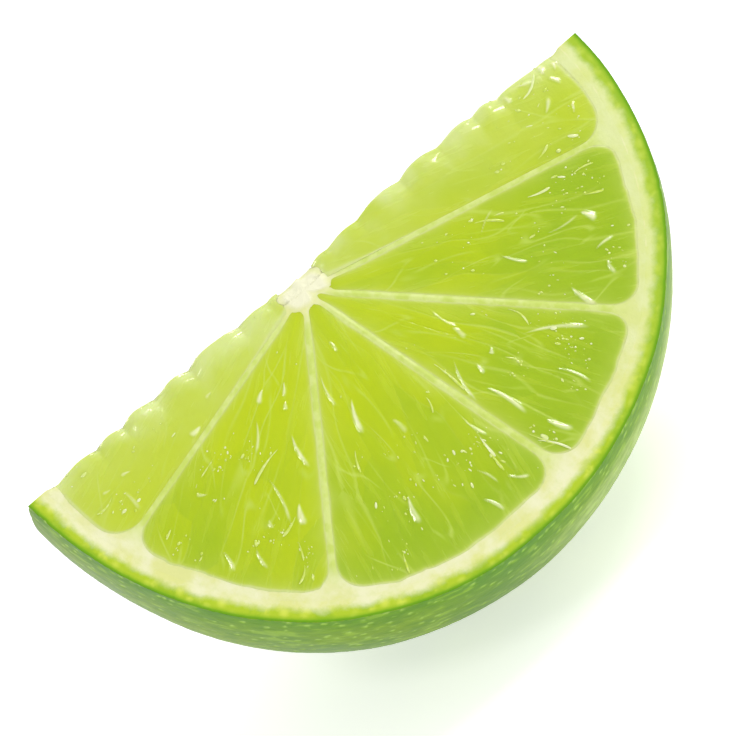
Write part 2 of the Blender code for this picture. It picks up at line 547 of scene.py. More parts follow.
def rind_material():
    """Satin green skin outside, and the moist section of the rind where it is cut."""
    material, paint, shader = new_material("lime_rind")
    place = paint.place()
    depth = paint.attribute("under_skin")
    broad = paint.noise(place, scale=75.0, detail=3.0, roughness=0.5)
    cream, felt = pith_colour(paint)
    on_cut = paint.ramp(depth, 0.0, 0.04)
    skin = skin_colour(paint, place, broad)
    cut = cut_rind_colour(paint, place, depth, cream)
    paint.feed(shader["Base Color"], paint.mix(on_cut, skin, cut))
    worn = paint.ramp(broad, 0.3, 0.7, 0.38, 0.5)
    paint.feed(shader["Roughness"], paint.math("MAXIMUM", worn, paint.times(on_cut, 0.55)))
    grain = paint.plus(paint.noise(place, scale=2600.0, detail=2.0), felt)
    paint.feed(shader["Normal"], paint.bump(grain, distance=0.00004, strength=0.5))
    satin = {"Specular IOR Level": 0.1, "Sheen Weight": 0.06, "Sheen Roughness": 0.2}
    set_finish(shader, satin | {"Coat Weight": 0.05, "Coat Roughness": 0.2})
    return material


def pith_material():
    """Cream pith, whiter at the core, that thins into clearer yellow-green membranes."""
    material, paint, shader = new_material("lime_pith")
    thin = paint.attribute("thin")
    cream, felt = pith_colour(paint)
    fluffy = paint.mix(paint.attribute("core"), cream, CORE_WHITE)
    streak = paint.noise(paint.place(), scale=1200.0, detail=2.0)
    membrane = paint.mix(paint.ramp(streak, 0.35, 0.65), MEMBRANE_CLEAR, MEMBRANE_CLOUDY)
    paint.feed(shader["Base Color"], paint.mix(thin, fluffy, membrane))
    paint.feed(shader["Roughness"], paint.ramp(thin, 0.0, 1.0, 0.55, 0.3))
    paint.feed(shader["Normal"], paint.bump(felt, distance=0.00006, strength=0.6))
    set_finish(shader, {"Coat Weight": 0.15, "Coat Roughness": 0.3})
    return material


def strands(paint, aside, along, across_scale, along_scale, lean):
    """Thin broken lines along the sacs: where a stretched noise passes through one half."""
    sideways = paint.plus(aside, paint.times(along, lean))
    layer = lean * 9.0
    place = paint.join(paint.times(sideways, across_scale), paint.times(along, along_scale), layer)
    field = paint.noise(place, scale=1.0, detail=1.2, roughness=0.4)
    from_half = paint.math("ABSOLUTE", paint.math("SUBTRACT", field, 0.5))
    line = paint.ramp(from_half, 0.0, 0.022, 1.0, 0.0)
    breaks = paint.noise(place, scale=2.1, detail=2.0, roughness=0.5)
    return paint.times(line, paint.ramp(breaks, 0.46, 0.64, 0.0, 0.5))


def pulp_material():
    """Wet juice sacs: yellow to mid green by sac, with painted shade near the rind, paler along their
    walls and at thin edges, where some painted light shines through, and torn walls painted near white,
    partly as highlights.
    """
    material, paint, shader = new_material("lime_pulp")
    pale = paint.attribute("pale")
    aside = paint.attribute("aside")
    along = paint.attribute("along")
    long_strands = strands(paint, aside, along, 0.34, 0.075, lean=0.0)
    leaning_strands = strands(paint, aside, along, 0.42, 0.11, lean=0.3)
    grain = paint.join(aside, paint.times(along, 0.12))
    streaks = paint.noise(grain, scale=1.5, detail=3.0, roughness=0.55)
    broad = paint.noise(paint.place(), scale=160.0, detail=3.0, roughness=0.5)
    tone = paint.plus(paint.times(paint.attribute("sac"), 0.2), paint.times(broad, 0.8))
    # The shade mask holds each segment's greenness and painted shade near the rind
    tone = paint.plus(tone, paint.times(paint.attribute("shade"), 0.45))
    wall = paint.ramp(paint.attribute("wall"), 0.0, 1.0, 0.0, 0.5)
    # Torn walls at the listed streaks are painted near white, partly as painted highlights
    glint = paint.ramp(paint.attribute("glint"), 0.05, 0.95)
    torn_wall_and_highlight = paint.times(glint, paint.ramp(streaks, 0.3, 0.6, 0.6, 0.95))
    colour = paint.mix(paint.ramp(tone, 0.3, 1.15), PULP_YELLOW, PULP_GREEN)
    colour = paint.mix(paint.ramp(streaks, 0.5, 0.78, 0.0, 0.4), colour, PULP_STREAK)
    colour = paint.mix(wall, colour, SAC_WALL)
    colour = paint.mix(long_strands, colour, LONG_STRAND)
    colour = paint.mix(leaning_strands, colour, LEANING_STRAND)
    colour = paint.mix(pale, colour, PULP_PALE)
    colour = paint.mix(paint.ramp(pale, 0.5, 1.0, 0.0, 0.5), colour, PULP_PALEST)
    paint.feed(shader["Base Color"], paint.mix(torn_wall_and_highlight, colour, TORN_WALL_AND_HIGHLIGHT))
    paint.feed(shader["Roughness"], paint.ramp(streaks, 0.3, 0.7, 0.16, 0.3))
    wet = paint.group(MOISTURE, Scale=1400.0)
    height = paint.plus(paint.times(streaks, 1.5), wet["Height"])
    both = paint.plus(long_strands, leaning_strands)
    height = paint.plus(height, paint.times(both, 0.5))
    paint.feed(shader["Normal"], paint.bump(height, distance=0.00005, strength=0.5))
    under = {"Subsurface Radius": (1.0, 1.2, 0.35), "Subsurface Scale": 0.0005}
    set_finish(shader, under | {"Subsurface Weight": 0.35})
    set_finish(shader, {"Coat Weight": 0.9, "Coat Roughness": 0.1})
    return material


def juice_material():
    """Standing juice: pale yellow-green, glossier, and painted whiter on some drops as a painted
    highlight.
    """
    material, paint, shader = new_material("lime_juice")
    speck = paint.noise(paint.place(), scale=2600.0, detail=2.0, roughness=0.5)
    colour = paint.mix(paint.ramp(speck, 0.35, 0.7), JUICE, JUICE_PALE)
    # Painted highlight: some drops are painted whiter
    clear = paint.ramp(paint.attribute("clear"), 0.4, 1.0, 0.0, 0.8)
    paint.feed(shader["Base Color"], paint.mix(clear, colour, JUICE_PAINTED_GLINT))
    paint.feed(shader["Roughness"], paint.ramp(speck, 0.3, 0.7, 0.08, 0.2))
    set_finish(shader, {"Coat Weight": 1.0, "Coat Roughness": 0.08})
    return material


# ---------------------------------------------------------------- the rind

RIND_ROWS, RIND_COLUMNS, RIND_LAYERS = 189, 331, 13
GLAND_SPACING = 0.95
PIT_RADIUS = 0.42  # as a share of the spacing
PIT_DEPTH = 0.085
RISE_BETWEEN_PITS = 0.02
SWELL_HEIGHT = 0.09
SWELL_LENGTH = 6.5
SKIN_DROP = 0.05  # keeps the highest swells inside the solid's outline
DASH_LENGTH, DASH_WIDTH = 1.1, 0.5  # of the pale and dark dashes round the fruit
GREENER_FROM, GREENER_OVER = 6.0, 14.0  # x where the rind's cut begins to turn greener


def skin_relief(points):
    """How far the skin stands out: rounded rises between shallow oil-gland pits, and long swells."""
    near, second = nearest_seeds(points / GLAND_SPACING, 11)[:2]
    gland = smooth(np.clip(1 - near / PIT_RADIUS, 0, 1))
    pits = -PIT_DEPTH * gland + RISE_BETWEEN_PITS * smooth((second - near) / 0.5)
    swells = SWELL_HEIGHT * cloud(points / SWELL_LENGTH, 31, 2)
    return pits + swells - SKIN_DROP, gland


def nearest_third(count):
    """For each place along an edge, the place that a sheet three times coarser also has."""
    return 3 * np.round(np.arange(count) / 3).astype(int)


def skin_masks(skin, gland, around):
    """What the skin's finish reads: pits, nearness to the cut, dashes round it and where a pale
    reflection is painted.
    """
    depth = -skin[..., 2]
    turned = RIM_RADIUS * around * np.ones((len(skin), 1))
    stretched = np.stack([turned / DASH_LENGTH, skin[..., 2] / DASH_WIDTH, 0 * turned], axis=-1)
    # Where a pale reflection is painted on the skin: towards +x, away from the cut, less far down
    cheek = smooth((skin[..., 0] + 5.0) / 12.0) * smooth((depth - 2.0) / 4.0)
    return {
        "gland": gland,
        "near_cut": np.exp(-np.abs(depth) / 2.2),
        "dash": cloud(stretched, 37, 2),
        "cheek": cheek * (1 - 0.6 * smooth((depth - 7.0) / 8.0)),
    }


def towards_right_end(x):
    """Climbs from 0 to 1 towards the end of the piece at +x."""
    return smooth((x - GREENER_FROM) / GREENER_OVER)


def build_rind(material):
    """A shell between the skin and the surface PEEL inside it, closed by bands on both cuts.

    The inner surface is a third as fine as the skin, so each band's inner row is drawn onto it.
    """
    around = np.linspace(0, math.pi, RIND_COLUMNS)
    skin = under_skin(RIND_ROWS, around, 0.0)
    relief, gland = skin_relief(skin)
    inner = under_skin(RIND_ROWS, around, PEEL)
    inward = inner - skin
    inward /= np.maximum(np.linalg.norm(inward, axis=-1, keepdims=True), 1e-6)
    skin = skin - inward * relief[..., None]
    skin[0, :, 2] = 0.0
    skin[:, 0, 1] = 0.0
    skin[:, -1, 1] = 0.0
    skin[-1] = skin[-1].mean(axis=0)
    skin[-1, :, 1] = 0.0
    share = np.linspace(0, 1, RIND_LAYERS)[:, None, None]
    rim = skin[0] + share * (inner[0] - skin[0])
    right = skin[:, 0] + share * (inner[:, 0] - skin[:, 0])
    left = skin[:, -1] + share * (inner[:, -1] - skin[:, -1])
    for band in (rim, right, left):
        band[-1] = band[-1, nearest_third(band.shape[1])]
    depth = PEEL * share[..., 0]
    sheets = [
        (skin, False, skin_masks(skin, gland, around)),
        (inner[::3, ::3], False, {"under_skin": PEEL}),
        (rim, False, {"under_skin": depth, "end": towards_right_end(rim[..., 0])}),
        (right, False, {"under_skin": depth}),
        (left, False, {"under_skin": depth}),
    ]
    return add_piece("rind", sheets, material)


# ---------------------------------------------------------------- the pith

PITH_ROWS, PITH_COLUMNS, PITH_ACROSS = 44, 520, 200
PULP_BED = 0.9  # how far the pith lies under the pulp that covers it
TUCK = 0.012  # how far the pith's corners lie behind the rind's
MEMBRANE_RIDGE = 0.05
CORE_FLUFF = 0.16  # how far the core stands out of the cross cut
TORN_BACK = 0.26  # how far the core's edge lies behind the lengthwise cut
WORN_EDGE = 0.13

# How far the white core reaches before the pulp begins, by degrees round it
CORE_TURNS = (0, 30, 44, 60, 80, 100, 131, 150, 175, 200, 270, 340, 360)
CORE_REACHES = (1.7, 1.8, 0.9, 0.68, 0.8, 1.05, 1.2, 1.5, 1.6, 1.75, 1.3, 1.6, 1.7)


def core_half(depth):
    """Half the core's width on the lengthwise cut: a bell at each end over a wavering column."""
    top = (CORE_HALF_ON_EDGE - COLUMN_HALF) * bell(depth, 1.5)
    bottom = 0.9 * bell(31.0 - depth, 4.0)
    return COLUMN_HALF + top + bottom + 0.08 * np.sin(0.9 * depth) + 0.05 * np.sin(2.3 * depth + 1)


def core_reach(x, across):
    """How far the core reaches towards a place on the cross cut."""
    degrees = np.degrees(np.arctan2(across - CORE[1], x - CORE[0])) % 360
    return np.interp(degrees, CORE_TURNS, CORE_REACHES)


def membrane_gap(x, across):
    """Distance to the nearest membrane's middle line, on the side of the core it runs to."""
    from_core = np.stack([x - CORE[0], across - CORE[1]], axis=-1)
    nearest = np.full(x.shape, 99.0)
    for degrees in MEMBRANE_DEGREES:
        ahead = np.array([math.cos(math.radians(degrees)), math.sin(math.radians(degrees))])
        along = from_core @ ahead
        aside = np.abs(from_core @ np.array([-ahead[1], ahead[0]]))
        nearest = np.where(along > 0, np.minimum(nearest, aside), nearest)
    return nearest


def pulp_cover(x, across, from_core, reach):
    """From 0 to 1, where the pith of the cross cut is covered by pulp and so lies lower."""
    from_membrane = membrane_gap(x, across) - MEMBRANE_HALF_WIDTH
    from_rim = pulp_rim(np.arctan2(across, x)) - np.hypot(x, across)
    cover = smooth((rounded_gap(from_membrane, from_rim, CORNER_RADIUS) - 0.25) / 0.5)
    cover *= smooth((from_core - reach - 0.2 - 0.2 * bell(across, 0.8)) / 0.5)
    return cover


def pith_cross_sheet(rim):
    """The cross cut as rings from the core to the rim, and the masks that its finish reads.

    The core stands out and is felted, each membrane is a low ridge, and the pith dips where pulp
    covers it. Along the cut edge the core is torn back by an uneven amount and worn round.
    """
    core = np.array([CORE[0], CORE[1], 0.0])
    steps = (np.linspace(0.03, 0.12, 14), np.linspace(0.145, 0.84, 32), np.linspace(0.85, 1.0, 38))
    cross = core + np.concatenate([[0.0], *steps])[:, None, None] * (rim - core)
    x, across = cross[..., 0], cross[..., 1].copy()
    from_core = np.hypot(x - CORE[0], across - CORE[1])
    to_skin = RIM_RADIUS * lobes(np.arctan2(across, x)) - np.hypot(x, across)
    inside = smooth((to_skin - PEEL) / 0.6)
    reach = core_reach(x, across)
    at_core = smooth((reach + 0.25 - from_core) / 0.6)
    thin = smooth((to_skin - RIND_THICKNESS + 0.2) / 2.6) * smooth((from_core - reach) / 2.0)
    under_pulp = pulp_cover(x, across, from_core, reach)
    felt = (0.07 * cloud(cross / 0.55, 51) + 0.03 * cloud(cross / 0.2, 52)) * at_core
    swell = 0.05 * cloud(cross / 1.6, 57) * (1 - thin)
    swell *= smooth((RIND_THICKNESS - 0.2 - to_skin) / 0.5)
    cross[..., 2] += MEMBRANE_RIDGE * thin * bell(membrane_gap(x, across), 0.16)
    cross[..., 2] += inside * (CORE_FLUFF * at_core + felt + swell) * (1 - under_pulp)
    cross[..., 2] -= PULP_BED * under_pulp * inside
    along_edge = np.stack([x, 0 * x, 0 * x], axis=-1)
    ragged = 0.16 * cloud(along_edge / 0.6, 63) + 0.10 * cloud(along_edge / 0.25, 67)
    dip = (TORN_BACK + ragged) * bell(x - CORE[0], 1.55, power=4) * bell(across, 1.1)
    worn = WORN_EDGE * bell(across, 0.35) * inside
    low_ridge = PULP_BED * under_pulp * (1 - smooth(across / 1.0))
    cross[..., 1] += np.maximum(dip, low_ridge) + worn
    cross[..., 2] -= 0.25 * dip + worn + TUCK * (1 - smooth((to_skin - PEEL + 0.05) / 0.1))
    return cross, {"thin": thin, "core": at_core, "end": towards_right_end(x)}


def settle_lengthwise(sheet):
    """Lowers the lengthwise cut beside the core, under the pulp, and tucks in its two borders."""
    from_side = np.abs(sheet[..., 0] - CORE[0]) - core_half(-sheet[..., 2])
    gap = np.linalg.norm(sheet - sheet[:, :1], axis=-1)
    gap = np.minimum(gap, np.linalg.norm(sheet - sheet[:, -1:], axis=-1))
    below = PULP_BED * smooth((from_side - 0.5) / 0.5)
    below = below * smooth((gap - (RIND_THICKNESS - PEEL) - 0.4) / 0.6)
    sheet[..., 1] += below + TUCK * (1 - smooth((gap - OVERLAP) / 0.1))


def build_pith(material):
    """Everything between rind and pulp: the outer pith, the membranes and the core, one closed body.

    Both cut sheets share the cut edge: where the cross cut's edge moves, the lengthwise sheet
    moves with it, less and less with depth.
    """
    around = np.linspace(0, math.pi, PITH_COLUMNS)
    outer = under_skin(PITH_ROWS, around, PEEL - OVERLAP)
    share = np.linspace(0, 1, PITH_ACROSS)[None, :, None]
    lengthwise = outer[:, :1] + share * (outer[:, -1:] - outer[:, :1])
    lengthwise[..., 1] = 0.0
    rim = np.concatenate([outer[0], lengthwise[0, 1:-1][::-1]])
    cross, masks = pith_cross_sheet(rim)
    shift = (cross[-1, PITH_COLUMNS:] - rim[PITH_COLUMNS:])[::-1]
    near_edge = bell(lengthwise[:, :1, 2:], 0.7)
    settle_lengthwise(lengthwise)
    for corner in (0, PITH_COLUMNS - 1):
        cross[-1, corner, 1] += TUCK
        outer[:, corner, 1] += TUCK
    outer[0] = cross[-1, :PITH_COLUMNS]
    lengthwise[:, 0] = outer[:, 0]
    lengthwise[:, -1] = outer[:, -1]
    edge_shift = shift - (lengthwise[0, 1:-1] - rim[PITH_COLUMNS:][::-1])
    lengthwise[:, 1:-1] += near_edge * edge_shift
    sheets = [(outer, False, {}), (lengthwise, False, {}), (cross, True, masks)]
    return add_piece("pith", sheets, material)


# ---------------------------------------------------------------- the pulp

INNER_ROWS, EDGE_ROWS = 210, 200
EDGE_ON_CROSS, EDGE_ON_LENGTH = 90, 230  # columns of an edge segment on each cut
DOME_HEIGHT = 0.05  # of a juice sac
LEAN_HEIGHT = 0.04  # how much a sac may lean
SWELL_OF_PULP = 0.12
FIBRE_HEIGHT = 0.005
PROUD = 0.05  # how far the pulp stands out of a cut
WALL_HALF_WIDTH = 0.09  # of a wall between sacs, in seeds' distances
TORN_HEIGHT = 0.11  # of the torn walls in STREAKS
ROUNDING = 0.25  # of the line where two distances are alike
SKIRT = ((0.35, 0.02), (1.2, 0.05), (2.6, 0.12))  # each ring's drop, and its share drawn inward
BEDDED = 3.5  # how deep the point that closes each segment lies
SLANT = np.array([[0.8, 0.36, 0.48], [-0.6, 0.48, 0.64], [0.0, -0.8, 0.6]])  # a turn off the axes

# Of the four whole segments: greenness, and how near the core their tips come
GREENNESS = (0.1, 0.05, -0.05, -0.62)
TIP_DISTANCE = (1.75, 0.68, 1.1, 1.45)

# Of the two segments that the cut edge passes through, by side
EDGE_GREENNESS = {1: 0.0, -1: -0.45}
RIDGE_BULGE = {1: 0.75, -1: 0.36}
RIDGE_NOTCH = {1: 0.32, -1: 0.46}
EDGE_PALENESS = {1: 0.04, -1: 0.12}
NOTCH_SPACING = 3.3
TIP_SINK = 0.34  # how far the ridge sinks where it meets the core
RIDGE_WORN = 0.22  # how far the cut edge itself is worn round

# Torn sac walls and standing juice on the cross cut, painted pale partly as highlights: distance from
# the core and degrees round it, length, degrees that the fat end leans, half width and paleness
STREAKS = (
    (19.9, 44, 2.6, 34, 0.28, 1.0),
    (18.2, 51, 5.6, -15, 0.22, 0.8),
    (10.2, 55, 2.7, 21, 0.12, 0.5),
    (11.6, 58, 1.5, 26, 0.28, 0.6),
    (14.2, 61, 0.6, 60, 0.20, 0.9),
    (14.0, 67, 1.0, 27, 0.20, 0.9),
    (13.3, 73, 4.4, 30, 0.14, 0.6),
    (16.7, 71, 4.1, 4, 0.24, 0.8),
    (20.9, 71, 2.4, -11, 0.30, 0.8),
    (20.3, 60, 3.4, 5, 0.12, 0.6),
    (10.1, 110, 3.1, 3, 0.26, 0.9),
    (12.2, 97, 1.8, -12, 0.30, 0.5),
    (18.1, 106, 2.5, 2, 0.30, 1.0),
    (19.0, 88, 2.4, -17, 0.12, 0.6),
    (20.7, 84, 2.0, -42, 0.15, 0.8),
    (20.9, 91, 2.1, -24, 0.18, 0.8),
    (16.0, 82, 2.6, -5, 0.14, 0.6),
    (12.8, 168, 1.2, 8, 0.30, 0.9),
    (8.4, 153, 1.3, -10, 0.26, 0.9),
    (7.4, 142, 1.3, -12, 0.16, 0.8),
    (8.6, 140, 0.8, -12, 0.22, 0.8),
    (11.2, 148, 2.9, -17, 0.17, 0.7),
    (11.9, 133, 3.2, -30, 0.20, 0.9),
    (15.4, 137, 4.6, -32, 0.14, 0.6),
    (16.5, 132, 1.9, -15, 0.34, 1.0),
    (16.6, 157, 1.0, 60, 0.16, 0.6),
    (17.3, 139, 0.9, -35, 0.18, 0.6),
    (20.4, 146, 2.1, -45, 0.16, 0.7),
    (19.9, 140, 2.1, -38, 0.16, 0.7),
    (19.4, 170, 2.4, -80, 0.18, 0.6),
    (22.0, 4, 1.5, -45, 0.24, 0.7),
    (23.4, -2, 1.0, -75, 0.28, 0.9),
    (24.3, -1, 0.8, -70, 0.22, 0.8),
    (23.6, 1, 1.3, 59, 0.16, 0.7),
    (21.8, -2, 1.3, 20, 0.20, 0.8),
    (20.1, -2, 0.8, 80, 0.25, 0.8),
    (23.4, 7, 1.0, -68, 0.14, 0.8),
    (14.2, 183, 0.9, -17, 0.22, 0.7),
    (18.3, 175, 0.9, 20, 0.16, 0.7),
    (20.2, 175, 0.8, 17, 0.16, 0.6),
    (10.2, 173, 0.8, 0, 0.16, 0.6),
    (21.0, 27, 1.5, 40, 0.34, 1.0),
    (19.0, 28, 3.2, -18, 0.12, 0.6),
    (13.8, 21, 2.6, -48, 0.12, 0.5),
    (15.1, 34, 2.5, 23, 0.12, 0.7),
    (21.6, 33, 1.9, -30, 0.16, 0.8),
    (21.9, 38, 1.4, 60, 0.22, 0.7),
    (4.7, 104, 1.2, -10, 0.16, 0.5),
    (7.7, 119, 3.0, -15, 0.15, 0.6),
)


def rim_reach(direction):
    """Distance from the core to the pulp's outer edge, in a direction seen from the core.

    Each pass takes the edge's distance from the fruit's axis at the place found before, and finds
    where the direction meets the circle that has it as its radius.
    """
    ahead = np.stack([np.cos(direction), np.sin(direction)], axis=-1)
    middle = (ahead * CORE).sum(axis=-1)
    reach = np.full(direction.shape, 20.0)
    for _ in range(4):
        place = CORE + reach[..., None] * ahead
        edge = pulp_rim(np.arctan2(place[..., 1], place[..., 0]))
        reach = -middle + np.sqrt(middle**2 + edge**2 - (CORE**2).sum())
    return reach


def streak_relief(x, across):
    """Where the torn walls stand on the cross cut, from 0 to about 1; the same mask paints them pale,
    partly as highlights.

    Each is a bell across a slightly bent line, wide at one end and drawn out at the other.
    """
    total = np.zeros(x.shape)
    for number, (distance, degrees, length, lean, width, paleness) in enumerate(STREAKS):
        place = math.radians(degrees)
        way = math.radians(degrees + lean)
        from_x = x - CORE[0] - distance * math.cos(place)
        from_across = across - CORE[1] - distance * math.sin(place)
        share = 2 * (from_x * math.cos(way) + from_across * math.sin(way)) / length
        aside = from_across * math.cos(way) - from_x * math.sin(way)
        aside = aside + 0.07 * length * (-1) ** number * share**2
        wide = 0.75 * width * (0.3 + 0.7 * smooth((share + 1) / 1.5))
        total = np.maximum(total, paleness * (bell(aside, wide) * smooth((1 - np.abs(share)) / 0.55)))
    return total


def rounded_gap(first, second, radius):
    """Distance inside a square corner rounded to this radius, from the gaps to its two sides."""
    corner = radius - np.hypot(np.clip(radius - first, 0, None), np.clip(radius - second, 0, None))
    return np.where((first < radius) & (second < radius), corner, np.minimum(first, second))


def corner_drop(gap, radius):
    """How far a rounded corner falls short of the square one, at this gap from the side."""
    inside = np.clip(radius - gap, 0, radius)
    return radius - np.sqrt(radius**2 - inside**2)


def sac_pattern(aside, along, salt):
    """Juice sacs: long cells, narrow at the core, with walls between them.

    aside and along are millimetres across and along the segment. The sacs are the cells nearest
    to scattered seeds in coordinates squeezed along the segment and bent by noise.
    """
    width = 0.75 + 0.062 * along
    bend = np.stack([aside / 3.5, along / 7.0, np.full(aside.shape, 0.37)], axis=-1)
    squeezed_aside = aside / width + 0.9 * cloud(bend, salt, 2)
    squeezed_along = along / 6.5 + 0.5 * cloud(bend + 7.7, salt, 2)
    level = np.full(aside.shape, 0.5)
    squeezed = np.stack([squeezed_aside, squeezed_along, level], axis=-1)
    near, second, number, offset, sideways = nearest_seeds(squeezed, salt + 20, flat=True)
    return second - near, number, offset, sideways


def pulp_relief(aside, along, edge, salt):
    """Height of the pulp over the cut and the masks that its finish reads.

    Each sac is a dome that leans a little, over a broad swell, and all of it sinks to the cut
    towards the segment's edge.
    """
    gap, number, offset, sideways = sac_pattern(aside, along, salt)
    dome = 1 - np.exp(-3.2 * gap)
    narrow = 0.35 + 0.65 * smooth(along / 14)
    lean = offset * (number - 0.5)
    fibres = np.stack([aside / 0.35, along / 3.2, np.full(aside.shape, 0.5)], axis=-1)
    swell = np.stack([aside / 4.0, along / 6.0, np.full(aside.shape, 0.2)], axis=-1)
    height = narrow * (DOME_HEIGHT * dome + LEAN_HEIGHT * lean)
    height = height + FIBRE_HEIGHT * cloud(fibres, salt + 40, 2)
    height = height + SWELL_OF_PULP * cloud(swell, salt + 50, 2) * smooth(edge / 4.0)
    shown = smooth(1.6 * soft_noise(fibres / np.array([6.0, 2.5, 1.0]), salt + 60) - 0.35)
    wall = bell(gap, WALL_HALF_WIDTH) * shown * smooth((sideways - 0.25) / 0.5)
    height = 0.03 * smooth(edge / 0.4) - 0.003 + smooth(edge / 1.5) * (PROUD + height)
    masks = {"sac": number, "wall": wall * smooth(edge / 0.4), "aside": aside, "along": along}
    return height, masks


def soft_least(*values):
    """The least of several distances, rounded where two are alike."""
    total = sum(np.exp(-np.clip(value, 0, 60) / ROUNDING) for value in values)
    return np.clip(-ROUNDING * np.log(total), 0, None)


def skirt(border, down, middle):
    """Rings that carry a closed border down into the fruit and close it on one point."""
    rings = [border]
    for drop, draw in SKIRT:
        rings.append(border + down * drop + draw * (middle - border))
    rings.append(np.broadcast_to(middle, border.shape))
    return np.stack(rings)


def border_of(grid):
    """The outline of a grid of points, once round."""
    return np.concatenate([grid[0], grid[1:-1, -1], grid[-1][::-1], grid[1:-1, 0][::-1]])


def close_pulp(name, top, under, masks, material):
    """Joins a pulp sheet to the rings that carry its outline into the fruit."""
    keys = ("sac", "shade", "pale")
    outline = border_of(np.stack([masks[key] for key in keys], axis=-1))
    low = {key: np.broadcast_to(outline[:, i], under.shape[:2]) for i, key in enumerate(keys)}
    return add_piece(name, [(top, False, masks), (under, True, low)], material)


def inner_outline(half, middle, salt, tip):
    """Directions across a whole segment, from -1 to 1, and where its tip and outer edge lie.

    The lines are closer together near the membranes. The outer edge is slightly rough, and both
    ends have rounded corners.
    """
    even = np.linspace(-1, 1, int(110 + 5.2 * math.degrees(half)))[None, :]
    turned = 0.45 * even + 0.55 * np.sin(0.5 * math.pi * even)
    far = rim_reach(middle + turned * half * 0.97)
    from_side = (1 - np.abs(turned)) * (half * far - MEMBRANE_HALF_WIDTH)
    far = far - corner_drop(from_side, CORNER_RADIUS)
    rough = np.stack([far * (middle + turned * half) / 1.4, 0 * far, 0 * far], axis=-1)
    far = far + 0.11 * cloud(rough + salt, salt + 77, 3)
    from_side = (1 - np.abs(turned)) * max(half * tip - MEMBRANE_HALF_WIDTH, 0.2)
    near = tip + corner_drop(from_side, TIP_RADIUS)
    return turned, near, far


def build_inner_segment(name, start, end, salt, greenness, tip, material):
    """A whole segment between two membranes, on the cross cut only.

    It fans out from the core, blunt at its tip, and is paler beside its membranes and darker
    towards the rind, with painted shade near the rind where the pulp is deep.
    """
    half = math.radians(end - start) / 2
    middle = math.radians(start + end) / 2
    turned, near, far = inner_outline(half, middle, salt, tip)
    along = near + np.linspace(0, 1, INNER_ROWS)[:, None] * (far - near)
    spread = half - MEMBRANE_HALF_WIDTH / along
    blunt = (0.55 if tip < 1 else 0.12) * bell(along - near, 0.55)
    direction = middle + turned * (spread + blunt)
    side = (1 - np.abs(turned)) * spread * along
    edge = soft_least(side, far - along, along - near)
    height, masks = pulp_relief((direction - middle) * along, along, edge, salt)
    x = CORE[0] + along * np.cos(direction)
    across = CORE[1] + along * np.sin(direction)
    masks["shade"] = smooth((along - 4) / 18) + greenness
    # Painted shade: darker near the rind, where the pulp is deep
    masks["shade"] = masks["shade"] + 0.5 * (1 + greenness) * bell(far - along, 3.0)
    uneven = 0.5 + soft_noise(np.stack([x, across, 0 * x], axis=-1) / 1.3, salt + 75)
    beside = soft_least(side, far - along)
    masks["pale"] = 0.9 * bell(beside, 0.24) + 0.4 * uneven * np.exp(-beside / 0.6)
    masks["pale"] = masks["pale"] * (0.35 + 0.65 * smooth((along - near) / 2.5))
    masks["glint"] = streak_relief(x, across) * smooth(edge / 0.3)
    top = np.stack([x, across, height + TORN_HEIGHT * masks["glint"]], axis=-1)
    centre = top[top.shape[0] // 2, top.shape[1] // 2] + np.array([0.0, 0.0, -BEDDED])
    under = skirt(border_of(top), np.array([0.0, 0.0, -1.0]), centre)
    close_pulp(name, top, under, masks, material)
    ahead = np.stack([np.cos(direction), np.sin(direction), np.zeros(direction.shape)], axis=-1)
    facing = np.broadcast_to(np.array([0.0, 0.0, 1.0]), top.shape)
    weight = smooth((edge - 0.3) / 1.2) * along * (0.25 + smooth((along - 9) / 9))
    return top, facing, ahead, weight


def ridge_normals(past_edge):
    """Which way each point faces: out on the cross cut, away from the rind past the cut edge."""
    turn = 0.5 * math.pi * smooth((past_edge + 0.5) / 1.0)
    return np.stack([np.zeros(turn.shape), -np.sin(turn), np.cos(turn)], axis=-1)


def lengths_along(rail):
    """How far each point of a rail is from its first, along the rail."""
    return np.concatenate([[0], np.cumsum(np.linalg.norm(np.diff(rail, axis=0), axis=1))])


